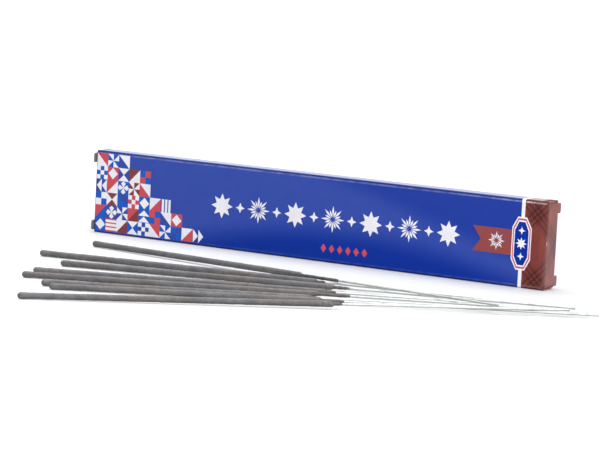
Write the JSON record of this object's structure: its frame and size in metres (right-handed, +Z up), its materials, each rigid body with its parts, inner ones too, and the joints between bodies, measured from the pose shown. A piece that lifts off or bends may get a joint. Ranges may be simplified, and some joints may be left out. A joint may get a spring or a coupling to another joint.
{
  "type": "sparkler pack",
  "caption": "Pack of hand sparklers: steel wires dipped in grey spark coat, fanned out in front of their long printed tuck-end carton",
  "frame": {"origin": "centre of the carton's base, on the surface that the carton stands on", "axes": "+X along the carton to its brown checked end, -Y out of the carton's front panel towards the loose sparklers, +Z up"},
  "size_m": [0.2553, 0.1836, 0.0345],
  "materials": {
    "printed_board": "gloss",
    "steel_wire": "satin",
    "spark_coat": "matte"
  },
  "bodies": {
    "carton": {"carton_sleeve": "printed_board"},
    "right_closure_flap_body": {"right_closure_flap": "printed_board"},
    "left_closure_flap_body": {"left_closure_flap": "printed_board"},
    "right_top_dust_flap_body": {"right_top_dust_flap": "printed_board"},
    "right_bottom_dust_flap_body": {"right_bottom_dust_flap": "printed_board"},
    "left_top_dust_flap_body": {"left_top_dust_flap": "printed_board"},
    "left_bottom_dust_flap_body": {"left_bottom_dust_flap": "printed_board"},
    "sparkler_1": {"sparkler_1_wire": "steel_wire", "sparkler_1_coat": "spark_coat"},
    "sparkler_2": {"sparkler_2_wire": "steel_wire", "sparkler_2_coat": "spark_coat"},
    "sparkler_3": {"sparkler_3_wire": "steel_wire", "sparkler_3_coat": "spark_coat"},
    "sparkler_4": {"sparkler_4_wire": "steel_wire", "sparkler_4_coat": "spark_coat"},
    "sparkler_5": {"sparkler_5_wire": "steel_wire", "sparkler_5_coat": "spark_coat"},
    "sparkler_6": {"sparkler_6_wire": "steel_wire", "sparkler_6_coat": "spark_coat"},
    "sparkler_7": {"sparkler_7_wire": "steel_wire", "sparkler_7_coat": "spark_coat"},
    "sparkler_8": {"sparkler_8_wire": "steel_wire", "sparkler_8_coat": "spark_coat"},
    "sparkler_9": {"sparkler_9_wire": "steel_wire", "sparkler_9_coat": "spark_coat"},
    "sparkler_10": {"sparkler_10_wire": "steel_wire", "sparkler_10_coat": "spark_coat"}
  },
  "joints": [
    {"name": "right_flap_hinge", "type": "hinge", "parent": "carton", "child": "right_closure_flap_body", "pos_m": [0.1046, -0.0041, 0.01725], "axis": [0, 0, -1], "range_deg": [0, 150]},
    {"name": "left_flap_hinge", "type": "hinge", "parent": "carton", "child": "left_closure_flap_body", "pos_m": [-0.1046, 0.0041, 0.01725], "axis": [0, 0, -1], "range_deg": [0, 150]},
    {"name": "right_top_dust_hinge", "type": "hinge", "parent": "carton", "child": "right_top_dust_flap_body", "pos_m": [0.10405, 0, 0.0341], "axis": [0, 1, 0], "range_deg": [0, 40]},
    {"name": "right_bottom_dust_hinge", "type": "hinge", "parent": "carton", "child": "right_bottom_dust_flap_body", "pos_m": [0.10405, 0, 0.0004], "axis": [0, -1, 0], "range_deg": [0, 40]},
    {"name": "left_top_dust_hinge", "type": "hinge", "parent": "carton", "child": "left_top_dust_flap_body", "pos_m": [-0.10405, 0, 0.0341], "axis": [0, -1, 0], "range_deg": [0, 40]},
    {"name": "left_bottom_dust_hinge", "type": "hinge", "parent": "carton", "child": "left_bottom_dust_flap_body", "pos_m": [-0.10405, 0, 0.0004], "axis": [0, 1, 0], "range_deg": [0, 40]},
    {"name": "sparkler_1_draw", "type": "slide", "parent": "carton", "child": "sparkler_1", "axis": [-0.9895, 0.1444, 0], "range_m": [0, 0.15]},
    {"name": "sparkler_2_draw", "type": "slide", "parent": "carton", "child": "sparkler_2", "axis": [-0.9848, -0.1736, 0], "range_m": [0, 0.15]},
    {"name": "sparkler_3_draw", "type": "slide", "parent": "carton", "child": "sparkler_3", "axis": [-0.9627, -0.2706, 0], "range_m": [0, 0.15]},
    {"name": "sparkler_4_draw", "type": "slide", "parent": "carton", "child": "sparkler_4", "axis": [-0.9336, -0.3584, 0], "range_m": [0, 0.15]},
    {"name": "sparkler_5_draw", "type": "slide", "parent": "carton", "child": "sparkler_5", "axis": [-0.9135, -0.4067, 0], "range_m": [0, 0.15]},
    {"name": "sparkler_6_draw", "type": "slide", "parent": "carton", "child": "sparkler_6", "axis": [-0.8829, -0.4695, 0], "range_m": [0, 0.15]},
    {"name": "sparkler_7_draw", "type": "slide", "parent": "carton", "child": "sparkler_7", "axis": [-0.8704, -0.4924, 0], "range_m": [0, 0.15]},
    {"name": "sparkler_8_draw", "type": "slide", "parent": "carton", "child": "sparkler_8", "axis": [-0.7934, -0.6088, 0], "range_m": [0, 0.15]},
    {"name": "sparkler_9_lift", "type": "slide", "parent": "carton", "child": "sparkler_9", "axis": [0, 0, 1], "range_m": [0, 0.018]},
    {"name": "sparkler_10_lift", "type": "slide", "parent": "carton", "child": "sparkler_10", "axis": [0, 0, 1], "range_m": [0, 0.018]}
  ]
}
